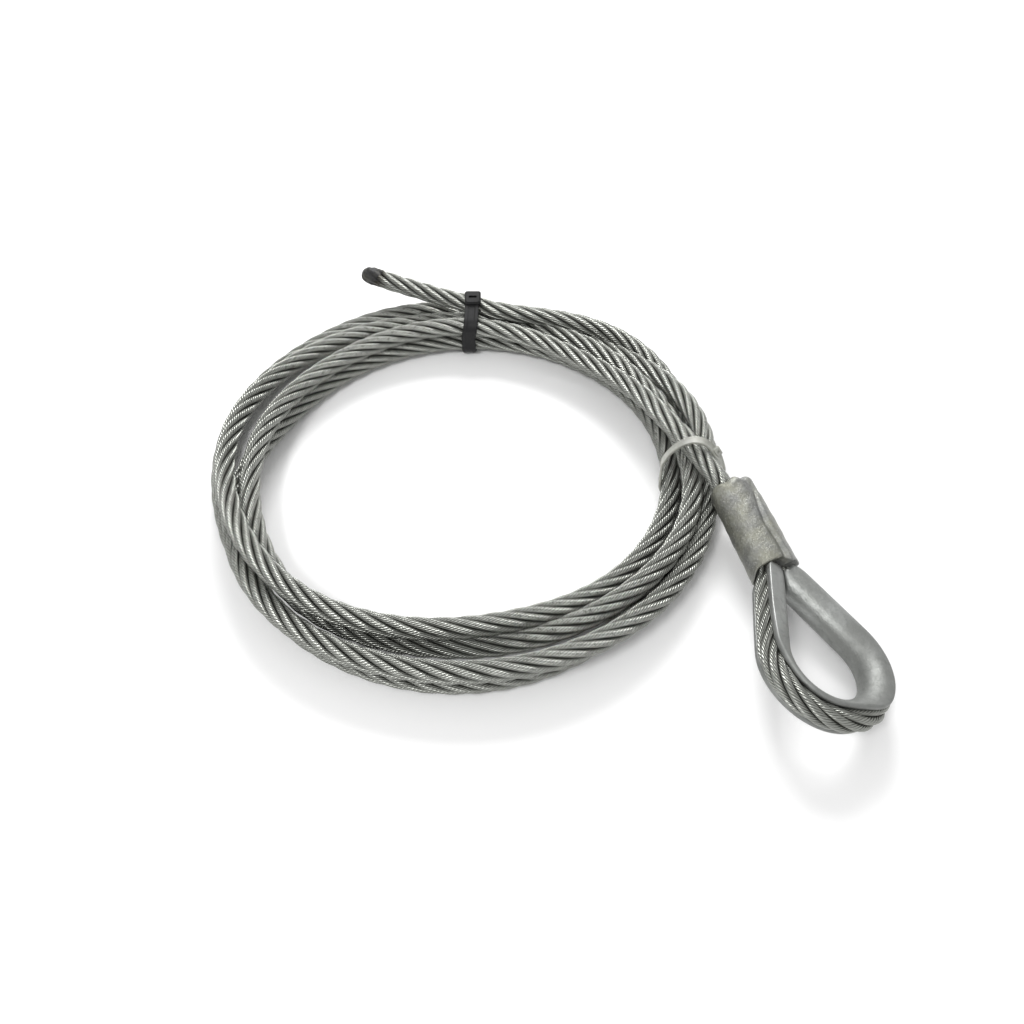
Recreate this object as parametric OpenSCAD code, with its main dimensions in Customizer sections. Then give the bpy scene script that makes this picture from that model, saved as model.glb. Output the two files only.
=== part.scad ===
// Wire rope assembly: a coiled wire rope with a thimble eye pressed on one end.
// +X runs from the ferrule to the crown of the eye, +Z is up, and z = 0 is the surface that it lies on.
// The origin is the bottom centre of the box round the eye: its thimble, ferrule and rope.

/* [Rope] */
// Diameter of the wire rope
rope_d = 10; // [8:0.5:12]
// Length of one lay, in which a strand goes once round the rope
lay_len = 66; // [60:1:80]
// Clearance between one strand and the next, and between the strands and the core
strand_gap = 0.04; // [0.02:0.01:0.1]
// Diameter of the rope's fused tip
tip_d = 9; // [7:0.5:9]
// Length of the rope's fused tip
tip_len = 9; // [7:0.5:14]

/* [Eye] */
// Radius of the rope's centreline round the crown of the thimble
crown_r = 24.5; // [20:0.5:30]
// Length from the ferrule to the middle of the crown's curve
leg_len = 46.5; // [40:0.5:60]
// Gap between the rope's two legs, where they meet the ferrule
mouth_gap = 0; // [0:0.1:1.5]

/* [Thimble] */
// Thickness of the gutter at its back
gutter_wall = 2.75; // [2:0.05:3.5]
// Clearance between the rope and the gutter
rope_gap = 0.25; // [0.1:0.05:0.5]
// Height of the flanges past the rope's centreline
flange_rise = 2; // [1:0.25:3]
// Width of the flat land round the hole's wall, which a pin bears on
land_w = 4; // [3:0.25:5]
// Width of each flange's edge at the thimble's two points
tip_lip = 1; // [0.75:0.05:1.75]
// Gap between the thimble's two points
point_gap = 0.8; // [0.4:0.1:1.5]
// Gap from the thimble's points to the ferrule
point_setback = 3; // [2.5:0.25:4]

/* [Ferrule] */
// Thinnest wall of the pressed ferrule, outside the rope
ferrule_wall = 1.55; // [0.8:0.05:2.5]
// Length of the pressed ferrule
ferrule_len = 45; // [38:1:54]
// Size of the rope inside the ferrule, as a share of its free size
press_ratio = 0.86; // [0.8:0.01:0.9]
// Radial clearance between the pressed rope and the ferrule's passages
press_gap = 0.05; // [0.02:0.01:0.1]
// Length of the flare where the ropes leave the ferrule for the eye
flare_len = 9; // [7:0.5:12]
// Wall of the ferrule at the end of the flare
flare_wall = 0.9; // [0.4:0.05:1.2]
// How far the flash ridge stands out of the ferrule
ridge_rise = 1.1; // [0.5:0.1:1.5]
// Width of the flash ridge
ridge_w = 5.5; // [3:0.5:7]
// Angle of the flash ridge round the ferrule, up from the side of the dead end
ridge_angle = 64; // [50:2:80]
// Length at the ferrule's lead end that has no ridge
ridge_start = 7; // [3:1:12]
// Depth from the ferrule's lead end to the rope's dead end
dead_end_depth = 2; // [1:0.5:5]

/* [Coil] */
// Mean radius of the coil
coil_r = 106; // [90:1:120]

/* [Ties] */
// Width of the black tie's strap
black_w = 7.6; // [4.8:0.1:9]
// Thickness of the black tie's strap
black_t = 1.5; // [1.2:0.1:1.5]
// Width of the white tie's strap
white_w = 3.6; // [2.5:0.1:4.8]
// Thickness of the white tie's strap
white_t = 1.2; // [1:0.1:1.2]
// Size of the black tie's head: across the strap, along it and out from it
black_head = [11, 8.4, 3.9]; // [1:0.1:15]
// Size of the white tie's head: across the strap, along it and out from it
white_head = [5.2, 4, 3.1]; // [1:0.1:15]
// Lean of the white tie, its top away from the ferrule
white_lean = 20; // [0:5:25]
// Tilt of the ties' heads, which lean with the strap
head_turn = 20; // [0:5:30]
// Clearance between a tie and the rope that it holds
tie_gap = 0.2; // [0.15:0.05:0.4]

/* [Hidden] */
$fn = 96;
rope_r = rope_d / 2;

// How far a cut runs past the face that it cuts
cut_past = 1;

// Pose of the eye as it lies: its roll and its pitch
eye_roll = -19;
eye_pitch = -4;
// Pose of the ferrule, which slopes down from the coil to the eye
ferrule_pitch = 11.5;
ferrule_yaw = 6;

// Strands: six fill the rope and all but touch each other and the core, at the angle of the lay
strand_count = 6;
lay_stretch = norm([lay_len, 2 * PI * rope_r * 2 / 3]) / lay_len;
strand_ring_r = (rope_r + strand_gap / 2) / (1 + 1 / (2 * lay_stretch));
strand_r = (strand_ring_r / lay_stretch - strand_gap) / 2;
core_r = strand_ring_r - strand_r - strand_gap;

// Thimble: its groove, its back and lips, and the angle of its legs
groove_r = rope_r + rope_gap;
gutter_r = groove_r + gutter_wall;
lip_r = gutter_wall / 2;
land_at = sqrt(gutter_r * gutter_r - land_w * land_w / 4);
mouth_half = rope_r + mouth_gap / 2;
tip_w = (groove_r + tip_lip) * 2;
leg_angle = asin(crown_r / norm([leg_len, mouth_half])) - atan(mouth_half / leg_len);
leg_start = crown_r * [sin(leg_angle) * -1, cos(leg_angle)];
leg_run = (leg_len - crown_r * sin(leg_angle)) / cos(leg_angle);

// The legs run a little way into the crown's ends, and are thinner by a hair on every face
seam_lap = 0.5;
seam_step = 0.03;

// The middle of the crown's curve: so high that the flange just touches the surface
crown_up = (crown_r + flange_rise) * norm([sin(eye_roll) * cos(eye_pitch), sin(eye_pitch)])
    + (groove_r + lip_r) * cos(eye_roll) * cos(eye_pitch) + lip_r;

// The middle of the crown's curve lies a ferrule and two legs away from the ferrule's lead end
lead_end_x = -59.04;
crown_x = lead_end_x + ferrule_len * cos(ferrule_pitch) * cos(ferrule_yaw) + leg_len * cos(eye_pitch);
crown_at = [crown_x, 0, crown_up];

// Ferrule: its two passages lie side by side
pressed_r = rope_r * press_ratio;
passage_r = pressed_r + press_gap;
passage_at = pressed_r + press_gap * 2;
ferrule_r = passage_at + passage_r + ferrule_wall;

// ---- placing

function rot_x(a, p) = [p[0], p[1] * cos(a) - p[2] * sin(a), p[1] * sin(a) + p[2] * cos(a)];
function rot_y(a, p) = [p[0] * cos(a) + p[2] * sin(a), p[1], p[2] * cos(a) - p[0] * sin(a)];
function rot_z(a, p) = [p[0] * cos(a) - p[1] * sin(a), p[0] * sin(a) + p[1] * cos(a), p[2]];
function at_eye(p) = crown_at + rot_y(eye_pitch, rot_x(eye_roll, p));
mouth = at_eye([-leg_len, 0, 0]);
function at_ferrule(p) = mouth + rot_z(ferrule_yaw, rot_y(ferrule_pitch, rot_x(eye_roll, p)));

module place_eye() {
    translate(crown_at)
        rotate([eye_roll, eye_pitch, 0])
            children();
}

module place_ferrule() {
    translate(mouth)
        rotate([eye_roll, ferrule_pitch, ferrule_yaw])
            children();
}

// ---- sweeping

function unit(v) = v / norm(v);
function last(list) = list[len(list) - 1];
function tangent(path, i) = unit(path[min(i + 1, len(path) - 1)] - path[max(i - 1, 0)]);

// A point on the smooth curve through a list of points, t counting the points
function curve_at(pts, t) =
    let (
        i = min(floor(t), len(pts) - 2),
        f = t - i,
        a = pts[max(i - 1, 0)],
        b = pts[i],
        c = pts[i + 1],
        d = pts[min(i + 2, len(pts) - 1)]
    )
    ((b * 2) + (c - a) * f + (a * 2 - b * 5 + c * 4 - d) * f * f
        + (b * 3 - a - c * 3 + d) * f * f * f) / 2;
function smooth(pts, steps) =
    [for (i = [0 : (len(pts) - 1) * steps]) curve_at(pts, i / steps)];

// Two directions across each point of a path; "up" is carried along it without twist
function carry(up, t) = unit(up - t * (up * t));
function ups(path, up, i = 0, out = []) =
    i == len(path) ? out :
    let (u = carry(i == 0 ? up : out[i - 1], tangent(path, i)))
    ups(path, up, i + 1, concat(out, [u]));

// The length of a path from its start to each of its points
function runs(path, i = 0, out = []) =
    i == len(path) ? out :
    let (run = i == 0 ? 0 : out[i - 1] + norm(path[i] - path[i - 1]))
    runs(path, i + 1, concat(out, [run]));

// One closed skin over rings that all have the same number of points
module skin(rings) {
    n = len(rings[0]);
    m = len(rings);
    points = [for (ring = rings) each ring];
    start = [[for (k = [0 : n - 1]) k]];
    end = [[for (k = [0 : n - 1]) m * n - 1 - k]];
    sides = [for (i = [0 : m - 2]) for (k = [0 : n - 1])
        let (a = i * n + k, b = i * n + (k + 1) % n)
        each [[a, a + n, b], [b, a + n, b + n]]];
    polyhedron(points = points, faces = concat(start, sides, end));
}

// A round tube along a path
module tube(path, r, sides) {
    up = ups(path, [0, 0, 1]);
    skin([for (i = [0 : len(path) - 1])
        let (u = up[i], s = cross(u, tangent(path, i)))
        [for (k = [0 : sides - 1]) path[i] + r * (s * cos(360 * k / sides) + u * sin(360 * k / sides))]]);
}

// ---- the rope held in the eye

// Half of the rope's route, from inside the ferrule to the crown; side is 1 for the dead end
longest_step = 6;
ferrule_steps = ceil(ferrule_len / longest_step);
bend_steps = 4;
leg_steps = 9;
crown_steps = 11;
bend_start = 3;
bend_end = 10;
function in_ferrule(x, side) = at_ferrule([x, side * passage_at, 0]);
function on_leg(d, side) =
    at_eye([leg_start[0] - d * cos(leg_angle), side * (leg_start[1] - d * sin(leg_angle)), 0]);
function bend(side) =
    [for (i = [1 : bend_steps - 1])
        let (
            f = i / bend_steps,
            p = in_ferrule(-bend_start, side),
            q = on_leg(leg_run - bend_end, side),
            reach = norm(q - p) / 3,
            p2 = p + reach * unit(in_ferrule(0, side) - p),
            q2 = q - reach * unit(on_leg(0, side) - q)
        )
        p * pow(1 - f, 3) + 3 * p2 * f * pow(1 - f, 2) + 3 * q2 * f * f * (1 - f) + q * pow(f, 3)];
function half_route(side, from) = concat(
    [for (i = [0 : ferrule_steps])
        in_ferrule(-from + (from - bend_start) * i / ferrule_steps, side)],
    bend(side),
    [for (i = [0 : leg_steps]) on_leg((leg_run - bend_end) * (1 - i / leg_steps), side)],
    [for (i = [1 : crown_steps])
        let (a = side * (90 + leg_angle) * (1 - i / crown_steps))
        at_eye([crown_r * cos(a), crown_r * sin(a), 0])]
);
function reversed(list) = [for (i = [len(list) - 1 : -1 : 0]) list[i]];
dead_half = half_route(1, ferrule_len - dead_end_depth);
lead_half = reversed(half_route(-1, ferrule_len));
eye_route = concat(dead_half, [for (i = [1 : len(lead_half) - 1]) lead_half[i]]);
eye_up = ups(eye_route, at_eye([0, 0, 1]) - at_eye([0, 0, 0]));
eye_run = runs(eye_route);

// The ferrule packs the rope: its share of the free size at each point of the route
function packing(i) =
    let (from_end = min(i, len(eye_route) - 1 - i) - ferrule_steps)
    press_ratio + (1 - press_ratio) * pow(min(max(from_end / bend_steps, 0), 1), 2);

// Six lobes, each stretched across the rope by the lay; sides is the number of a lobe's facets
function eye_ring(i, turn, ring_r, r, sides) =
    let (u = eye_up[i], s = cross(u, tangent(eye_route, i)), k = packing(i))
    [for (j = [0 : sides - 1])
        let (
            a = 360 * j / sides,
            out = (ring_r + r * cos(a)) * k,
            along = r * sin(a) * k * (ring_r > 0 ? lay_stretch : 1),
            x = out * cos(turn) - along * sin(turn),
            y = out * sin(turn) + along * cos(turn)
        )
        eye_route[i] + s * x + u * y];

module eye_strand(number) {
    color([0.56, 0.57, 0.55])
        skin([for (i = [0 : len(eye_route) - 1])
            eye_ring(i, 360 * (number / strand_count + eye_run[i] / lay_len), strand_ring_r, strand_r, 8)]);
}

module eye_core() {
    color([0.45, 0.45, 0.43])
        skin([for (i = [0 : len(eye_route) - 1]) eye_ring(i, 0, 0, core_r, 10)]);
}

// ---- thimble

// The gutter's section: x points out of the eye, y across it; thin is taken off each of its faces
module gutter_section(thin = 0) {
    back_r = gutter_r - thin;
    inner_r = groove_r + thin;
    thin_lip_r = lip_r - thin;
    difference() {
        union() {
            intersection() {
                circle(back_r);
                translate([thin - land_at, -gutter_r])
                    square([land_at, gutter_r * 2]);
            }
            for (side = [-1, 1]) {
                translate([-lip_r, side * (groove_r + lip_r) - thin_lip_r])
                    square([flange_rise + lip_r, thin_lip_r * 2]);
                translate([flange_rise, side * (groove_r + lip_r)])
                    circle(thin_lip_r);
            }
        }
        circle(inner_r);
        translate([0, -inner_r])
            square([gutter_r, inner_r * 2]);
    }
}

module thimble_crown() {
    rotate([0, 0, -90 - leg_angle])
        rotate_extrude(angle = 180 + 2 * leg_angle)
            translate([crown_r, 0])
                gutter_section();
}

module thimble_leg() {
    translate([leg_start[0], leg_start[1], 0])
        rotate([0, 0, 180 + leg_angle])
            translate([-seam_lap, 0, 0])
                rotate([90, 0, 90])
                    linear_extrude(height = leg_run + seam_lap)
                        mirror([1, 0])
                            gutter_section(seam_step);
}

// What is cut off the legs: they narrow towards their points and stop short of each other
module leg_cuts() {
    point_at = point_setback - leg_len;
    far = leg_len * 2;
    narrowing = atan((gutter_r + cut_past - tip_w / 2) / (leg_start[0] - point_at));
    translate([-far / 2, point_gap / 2 - far, -far / 2])
        cube(far);
    translate([point_at - far, -far / 2, -far / 2])
        cube(far);
    for (side = [0, 1])
        mirror([0, 0, side])
            translate([point_at, 0, tip_w / 2])
                rotate([0, -narrowing, 0])
                    translate([-far / 2, -far / 2, 0])
                        cube(far);
}

module thimble() {
    color([0.74, 0.75, 0.75])
        place_eye() {
            thimble_crown();
            for (side = [0, 1])
                mirror([0, side, 0])
                    difference() {
                        thimble_leg();
                        leg_cuts();
                    }
        }
}

// ---- ferrule

module ferrule() {
    color([0.6, 0.6, 0.57])
        place_ferrule()
            difference() {
                union() {
                    rotate([0, -90, 0])
                        cylinder(h = ferrule_len, r = ferrule_r);
                    ferrule_ridge();
                }
                for (side = [-1, 1]) {
                    translate([cut_past, side * passage_at, 0])
                        rotate([0, -90, 0])
                            cylinder(h = ferrule_len + cut_past * 2, r = passage_r);
                    ferrule_flare(side);
                }
            }
}

// The flash ridge that the press leaves along the sleeve
module ferrule_ridge() {
    ridge_len = ferrule_len - ridge_start;
    rotate([ridge_angle, 0, 0])
        translate([-ridge_len, 0, -ridge_w / 2])
            cube([ridge_len, ferrule_r + ridge_rise, ridge_w]);
}

// The passages widen towards the eye, where the ropes part
module ferrule_flare(side) {
    translate([-flare_len, side * passage_at, 0])
        rotate([0, 90, 0])
            cylinder(h = flare_len, r1 = passage_r, r2 = ferrule_r - passage_at - flare_wall);
}

// ---- the free rope

// Route of the lead: straight out of the ferrule and onto the top of the coil
lead_straight = 5;
lead_route = [
    in_ferrule(-ferrule_len, -1),
    in_ferrule(-ferrule_len - lead_straight, -1),
    [-69, -10.4, 24.7],
    [-75, -11.8, 24.8],
    [-81, -13.4, 25],
    [-87, -14.9, 25],
    [-93, -16.5, 25],
    [-99, -18.3, 25],
    [-105, -20.4, 24.7]
];
// Route of the tail: off the top of the coil, past the black tie, and straight to its tip
tail_route = [
    [-208.5, -86.5, 20.5],
    [-214.5, -95, 20.5],
    [-220.5, -104, 20.5],
    [-226.5, -113, 20.8],
    [-232.5, -121.5, 21.2],
    [-238, -129.5, 21.6],
    [-243, -136.5, 22],
    [-247.5, -142.5, 22.3]
];

// Where the ties are, as angles round the coil's middle
coil_at = [-111.3, -121.2, 0];
black_tie_at = 166;
white_tie_at = 72;

// Rope centres at the corners of the bundle: x from the coil's mean radius, y above its underside
bundle_in = -10;
bundle_out = 11;
coil_corners = [[bundle_in, rope_r], [bundle_out, rope_r], [8, 14.4], [0, 18.4], [-8, 14.4]];
black_corners = [[bundle_in, rope_r], [bundle_out, rope_r], [8, 15.4], [3.6, 19.3], [0, 19.3], [-8, 14.4]];
white_under = rope_r - white_w / 2 * tan(white_lean);
white_corners = [[-12.5, white_under], [12.5, white_under], [8.5, 28], [4, 28], [-9.5, 16.4]];

// The coil lies on its ties at one side and on the surface at the other, so it leans by a little
lean_at = (black_tie_at + white_tie_at) / 2;
tie_reach = (coil_r + white_corners[0][0]) * cos(lean_at - white_tie_at);
tie_depth = max(
    tie_gap + black_t,
    (tie_gap + white_t) * cos(white_lean) + white_w * sin(white_lean)
);
coil_lean = asin(tie_depth / (coil_r + bundle_out + tie_reach));
coil_up = (coil_r + bundle_out) * sin(coil_lean);

module rope_lead() {
    color([0.56, 0.57, 0.55])
        tube(lead_route, rope_r, 12);
}

module rope_tail() {
    color([0.56, 0.57, 0.55])
        tube(tail_route, rope_r, 12);
}

// The end of the rope, melted and rounded where it was cut
module fused_tip() {
    end = last(tail_route);
    way = tangent(tail_route, len(tail_route) - 1);
    round_r = tip_d / 2;
    color([0.15, 0.14, 0.13])
        translate(end)
            rotate([0, acos(way[2]), atan2(way[1], way[0])]) {
                cylinder(h = tip_len - round_r, r = round_r);
                translate([0, 0, tip_len - round_r])
                    sphere(round_r);
            }
}

// The outline of ropes laid side by side: corners is convex and turns to the left
function outline(corners, r, steps = 6) =
    [for (i = [0 : len(corners) - 1])
        let (
            a = corners[(i + len(corners) - 1) % len(corners)],
            b = corners[i],
            c = corners[(i + 1) % len(corners)],
            from = atan2(b[1] - a[1], b[0] - a[0]) - 90,
            to = atan2(c[1] - b[1], c[0] - b[0]) - 90,
            sweep = (to - from + 720) % 360
        )
        for (k = [0 : steps]) b + r * [cos(from + sweep * k / steps), sin(from + sweep * k / steps)]];

module place_coil() {
    translate(coil_at + [0, 0, coil_up])
        rotate([0, -coil_lean, lean_at])
            rotate([0, 0, -lean_at])
                children();
}

module rope_coil() {
    color([0.56, 0.57, 0.55])
        place_coil()
            rotate_extrude($fn = 180)
                translate([coil_r, 0])
                    polygon(outline(coil_corners, rope_r));
}

// ---- ties

// A strap round the bundle at an angle round the coil, with its head on the outside
module tie(angle, corners, strap_w, strap_t, head, lean = 0) {
    inner = rope_r + tie_gap;
    place_coil()
        rotate([90 - lean, 0, angle])
            translate([coil_r, 0, -strap_w / 2]) {
                linear_extrude(height = strap_w)
                    difference() {
                        polygon(outline(corners, inner + strap_t));
                        polygon(outline(corners, inner));
                    }
                translate(corners[1])
                    rotate([0, 0, head_turn])
                        translate([inner, -head[1] / 2, (strap_w - head[0]) / 2])
                            cube([strap_t + head[2], head[1], head[0]]);
            }
}

module black_tie() {
    color([0.08, 0.08, 0.085])
        tie(black_tie_at, black_corners, black_w, black_t, black_head);
}

module white_tie() {
    color([0.8, 0.81, 0.76])
        tie(white_tie_at, white_corners, white_w, white_t, white_head, white_lean);
}

thimble();
ferrule();
eye_core();
eye_strand(0);  // eye_strand_1
eye_strand(1);  // eye_strand_2
eye_strand(2);  // eye_strand_3
eye_strand(3);  // eye_strand_4
eye_strand(4);  // eye_strand_5
eye_strand(5);  // eye_strand_6
rope_lead();
rope_coil();
rope_tail();
fused_tip();
black_tie();
white_tie();
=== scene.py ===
import math

import bpy
import numpy as np
from mathutils import Matrix, Vector


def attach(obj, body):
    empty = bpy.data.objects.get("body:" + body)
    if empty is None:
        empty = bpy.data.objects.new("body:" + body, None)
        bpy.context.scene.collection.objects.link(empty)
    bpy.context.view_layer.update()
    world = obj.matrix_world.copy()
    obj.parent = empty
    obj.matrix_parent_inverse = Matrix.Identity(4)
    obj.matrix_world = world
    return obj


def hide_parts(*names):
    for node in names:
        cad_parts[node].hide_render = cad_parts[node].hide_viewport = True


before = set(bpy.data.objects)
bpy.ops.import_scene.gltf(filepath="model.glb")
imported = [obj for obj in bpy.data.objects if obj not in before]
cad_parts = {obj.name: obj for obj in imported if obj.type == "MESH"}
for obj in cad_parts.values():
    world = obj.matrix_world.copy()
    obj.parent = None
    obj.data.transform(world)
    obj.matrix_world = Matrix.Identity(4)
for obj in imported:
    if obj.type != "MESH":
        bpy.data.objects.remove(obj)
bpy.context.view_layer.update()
MM = 0.001

# ---------------------------------------------------------------- camera

camera = bpy.data.objects.new("camera", bpy.data.cameras.new("camera"))
bpy.context.scene.collection.objects.link(camera)
bpy.context.scene.camera = camera
camera.data.sensor_width = 36
camera.data.lens = 28.125
camera.data.clip_start = 0.01
camera.data.clip_end = 20
look = Vector((-0.551, 0.1374, -0.8231)).normalized()
right = look.cross(Vector((-0.7987, 0.1991, 0.5678))).normalized()
over = right.cross(look)
camera.matrix_world = Matrix.Translation(Vector((130.8, -156.8, 322.7)) * MM) @ Matrix(
    (right, over, -look)
).transposed().to_4x4()

# ---------------------------------------------------------------- measures, in mm

ROPE_D = 10.0
ROPE_R = ROPE_D / 2
LAY = 66.0
STRANDS = 6
STRAND_GAP = 0.04
LAY_STRETCH = math.hypot(LAY, 2 * math.pi * ROPE_R * 2 / 3) / LAY
RING_R = (ROPE_R + STRAND_GAP / 2) / (1 + 1 / (2 * LAY_STRETCH))
STRAND_R = (RING_R / LAY_STRETCH - STRAND_GAP) / 2
CORE_R = RING_R - STRAND_R - STRAND_GAP
WIRES = 9
WIRE_LAY = 12.0
CORE_SIDES = 8

# the eye's and the ferrule's poses, as in the CAD source
CROWN_R, LEG_LEN, MOUTH_HALF = 24.5, 46.5, 5.0
EYE_ROLL, EYE_PITCH = -19, -4
FERRULE_PITCH, FERRULE_YAW = 11.5, 6
FERRULE_LEN = 45.0
PRESS_RATIO, PRESS_GAP = 0.86, 0.05
PASSAGE_R = ROPE_R * PRESS_RATIO + PRESS_GAP
PASSAGE_AT = ROPE_R * PRESS_RATIO + PRESS_GAP * 2
DEAD_END_DEPTH = 2.0
CROWN_AT = Vector((31.2, 0, 16.4266))


def turn(degrees, axis):
    return Matrix.Rotation(math.radians(degrees), 3, axis)


EYE_TURN = turn(EYE_PITCH, "Y") @ turn(EYE_ROLL, "X")
FERRULE_TURN = turn(FERRULE_YAW, "Z") @ turn(FERRULE_PITCH, "Y") @ turn(EYE_ROLL, "X")


def at_eye(p):
    return np.array(CROWN_AT + EYE_TURN @ Vector(p))


MOUTH = Vector(at_eye((-LEG_LEN, 0, 0)))


def at_ferrule(p):
    return np.array(MOUTH + FERRULE_TURN @ Vector(p))


# ---------------------------------------------------------------- curves


def natural_spline(x, y):
    """The natural cubic spline through points, as a function of x."""
    x, y = np.array(x, float), np.array(y, float)
    n, h = len(x), np.diff(x)
    a, b = np.eye(n), np.zeros(n)
    for i in range(1, n - 1):
        a[i, i - 1 : i + 2] = h[i - 1], 2 * (h[i - 1] + h[i]), h[i]
        b[i] = 6 * ((y[i + 1] - y[i]) / h[i] - (y[i] - y[i - 1]) / h[i - 1])
    m = np.linalg.solve(a, b)

    def at(t):
        t = np.asarray(t, float)
        i = np.clip(np.searchsorted(x, t) - 1, 0, n - 2)
        p, q = x[i + 1] - t, t - x[i]
        return (
            (m[i] * p**3 + m[i + 1] * q**3) / (6 * h[i])
            + (y[i] / h[i] - m[i] * h[i] / 6) * p
            + (y[i + 1] / h[i] - m[i + 1] * h[i] / 6) * q
        )

    return at


def runs(path):
    return np.concatenate([[0], np.cumsum(np.linalg.norm(np.diff(path, axis=0), axis=1))])


def even(path, step):
    """The same path with its points a step apart, smooth through the old ones."""
    run = runs(path)
    want = np.linspace(0, run[-1], max(2, int(round(run[-1] / step)) + 1))
    return np.stack([natural_spline(run, path[:, k])(want) for k in range(3)], -1)


def carry(path, up):
    """Tangent, side and up at each point, with up carried along without twist."""
    t = np.gradient(path, axis=0)
    t /= np.linalg.norm(t, axis=1)[:, None]
    ups = np.zeros_like(path)
    u = np.array(up, float)
    for i in range(len(path)):
        u = u - t[i] * (u @ t[i])
        u /= np.linalg.norm(u)
        ups[i] = u
    return t, np.cross(ups, t), ups


# ---------------------------------------------------------------- meshes


def mesh_object(name, verts, faces, uvs=None, material=None, smooth=True):
    """verts in mm; uvs is one pair for each face corner."""
    mesh = bpy.data.meshes.new(name)
    mesh.from_pydata((np.asarray(verts) * MM).tolist(), [], faces)
    if uvs is not None:
        layer = mesh.uv_layers.new(name="strand")
        layer.data.foreach_set("uv", np.asarray(uvs, np.float32).ravel())
    mesh.polygons.foreach_set("use_smooth", [smooth] * len(mesh.polygons))
    mesh.update()
    obj = bpy.data.objects.new(name, mesh)
    bpy.context.scene.collection.objects.link(obj)
    if material:
        mesh.materials.append(material)
    return obj


def tube(rings, u, v, first=0):
    """Faces and corner uvs of a tube over rings that all have n points."""
    m, n = rings.shape[:2]
    faces, uvs = [], []
    for i in range(m - 1):
        for k in range(n):
            j = (k + 1) % n
            faces.append(
                (
                    first + i * n + k,
                    first + i * n + j,
                    first + (i + 1) * n + j,
                    first + (i + 1) * n + k,
                )
            )
            uvs += [(u[k], v[i]), (u[k + 1], v[i]), (u[k + 1], v[i + 1]), (u[k], v[i + 1])]
    for i, order in ((0, range(n - 1, -1, -1)), (m - 1, range(n))):
        faces.append(tuple(first + i * n + k for k in order))
        uvs += [(u[k], v[i]) for k in order]
    return faces, uvs


def closed_faces(m, n):
    """Faces over m rings of n points, where the last ring meets the first."""
    return [
        (i * n + k, i * n + (k + 1) % n, (i + 1) % m * n + (k + 1) % n, (i + 1) % m * n + k)
        for i in range(m)
        for k in range(n)
    ]


def rope_rings(path, up, strand, sides, packing=1.0, ring_r=RING_R, r=STRAND_R):
    """Rings of one strand; its first point of each ring faces out of the rope."""
    t, s, u = carry(path, up)
    run = runs(path)
    a = 2 * np.pi * np.arange(sides) / sides
    k = np.broadcast_to(packing, len(path))[:, None]
    out = (ring_r + r * np.cos(a))[None] * k
    along = (r * np.sin(a) * (LAY_STRETCH if ring_r else 1))[None] * k
    th = (2 * np.pi * (strand / STRANDS + run / LAY))[:, None]
    x = out * np.cos(th) - along * np.sin(th)
    y = out * np.sin(th) + along * np.cos(th)
    return path[:, None] + s[:, None] * x[..., None] + u[:, None] * y[..., None]


def rope_mesh(name, path, up, sides, material):
    """Strands laid round a core, as one mesh, with the uvs that the wires follow."""
    verts, faces, uvs, first = [], [], [], 0
    run = runs(path)
    u = np.arange(sides + 1) / sides
    for strand in range(STRANDS):
        rings = rope_rings(path, up, strand, sides)
        f, w = tube(rings, u, run / WIRE_LAY, first)
        verts.append(rings.reshape(-1, 3))
        faces += f
        uvs += w
        first += rings.shape[0] * sides
    rings = rope_rings(path, up, 0, CORE_SIDES, 1.0, 0.0, CORE_R)
    f, w = tube(rings, np.full(CORE_SIDES + 1, 0.5), run / WIRE_LAY, first)
    verts.append(rings.reshape(-1, 3))
    return mesh_object(name, np.concatenate(verts), faces + f, uvs + w, material)


def wired_rope(name, path, up, packing, material):
    """The same rope with its wires in the mesh: each wire is a low crest of three points."""
    run = runs(path)
    n = WIRES * 3
    t, s, u = carry(path, up)
    k = np.arange(n)
    dip = np.where(k % 3 == 0, 0.17, 0.0)
    turned = 2 * np.pi * (k / n)[None] - 2 * np.pi * (run / WIRE_LAY)[:, None]
    a = turned + np.where(k % 3 == 1, -0.04, 0.04)
    r = STRAND_R - dip[None]
    verts, faces, uvs, first = [], [], [], 0
    pack = packing[:, None]
    for strand in range(STRANDS):
        out = (RING_R + r * np.cos(a)) * pack
        along = r * np.sin(a) * LAY_STRETCH * pack
        th = (2 * np.pi * (strand / STRANDS + run / LAY))[:, None]
        x = out * np.cos(th) - along * np.sin(th)
        y = out * np.sin(th) + along * np.cos(th)
        rings = path[:, None] + s[:, None] * x[..., None] + u[:, None] * y[..., None]
        w = np.arange(n + 1) / n
        f, _ = tube(rings, w, run, first)
        for i in range(len(path) - 1):
            p, q = run[i] / WIRE_LAY, run[i + 1] / WIRE_LAY
            for j in range(n):
                uvs += [(w[j] - p, p), (w[j + 1] - p, p), (w[j + 1] - q, q), (w[j] - q, q)]
        for i, order in ((0, range(n - 1, -1, -1)), (len(path) - 1, range(n))):
            uvs += [(w[j] - run[i] / WIRE_LAY, run[i] / WIRE_LAY) for j in order]
        verts.append(rings.reshape(-1, 3))
        faces += f
        first += len(path) * n
    rings = rope_rings(path, up, 0, CORE_SIDES, packing, 0.0, CORE_R)
    f, w = tube(rings, np.full(CORE_SIDES + 1, 0.5), run / WIRE_LAY, first)
    verts.append(rings.reshape(-1, 3))
    return mesh_object(name, np.concatenate(verts), faces + f, uvs + w, material)


# ---------------------------------------------------------------- materials


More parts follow.
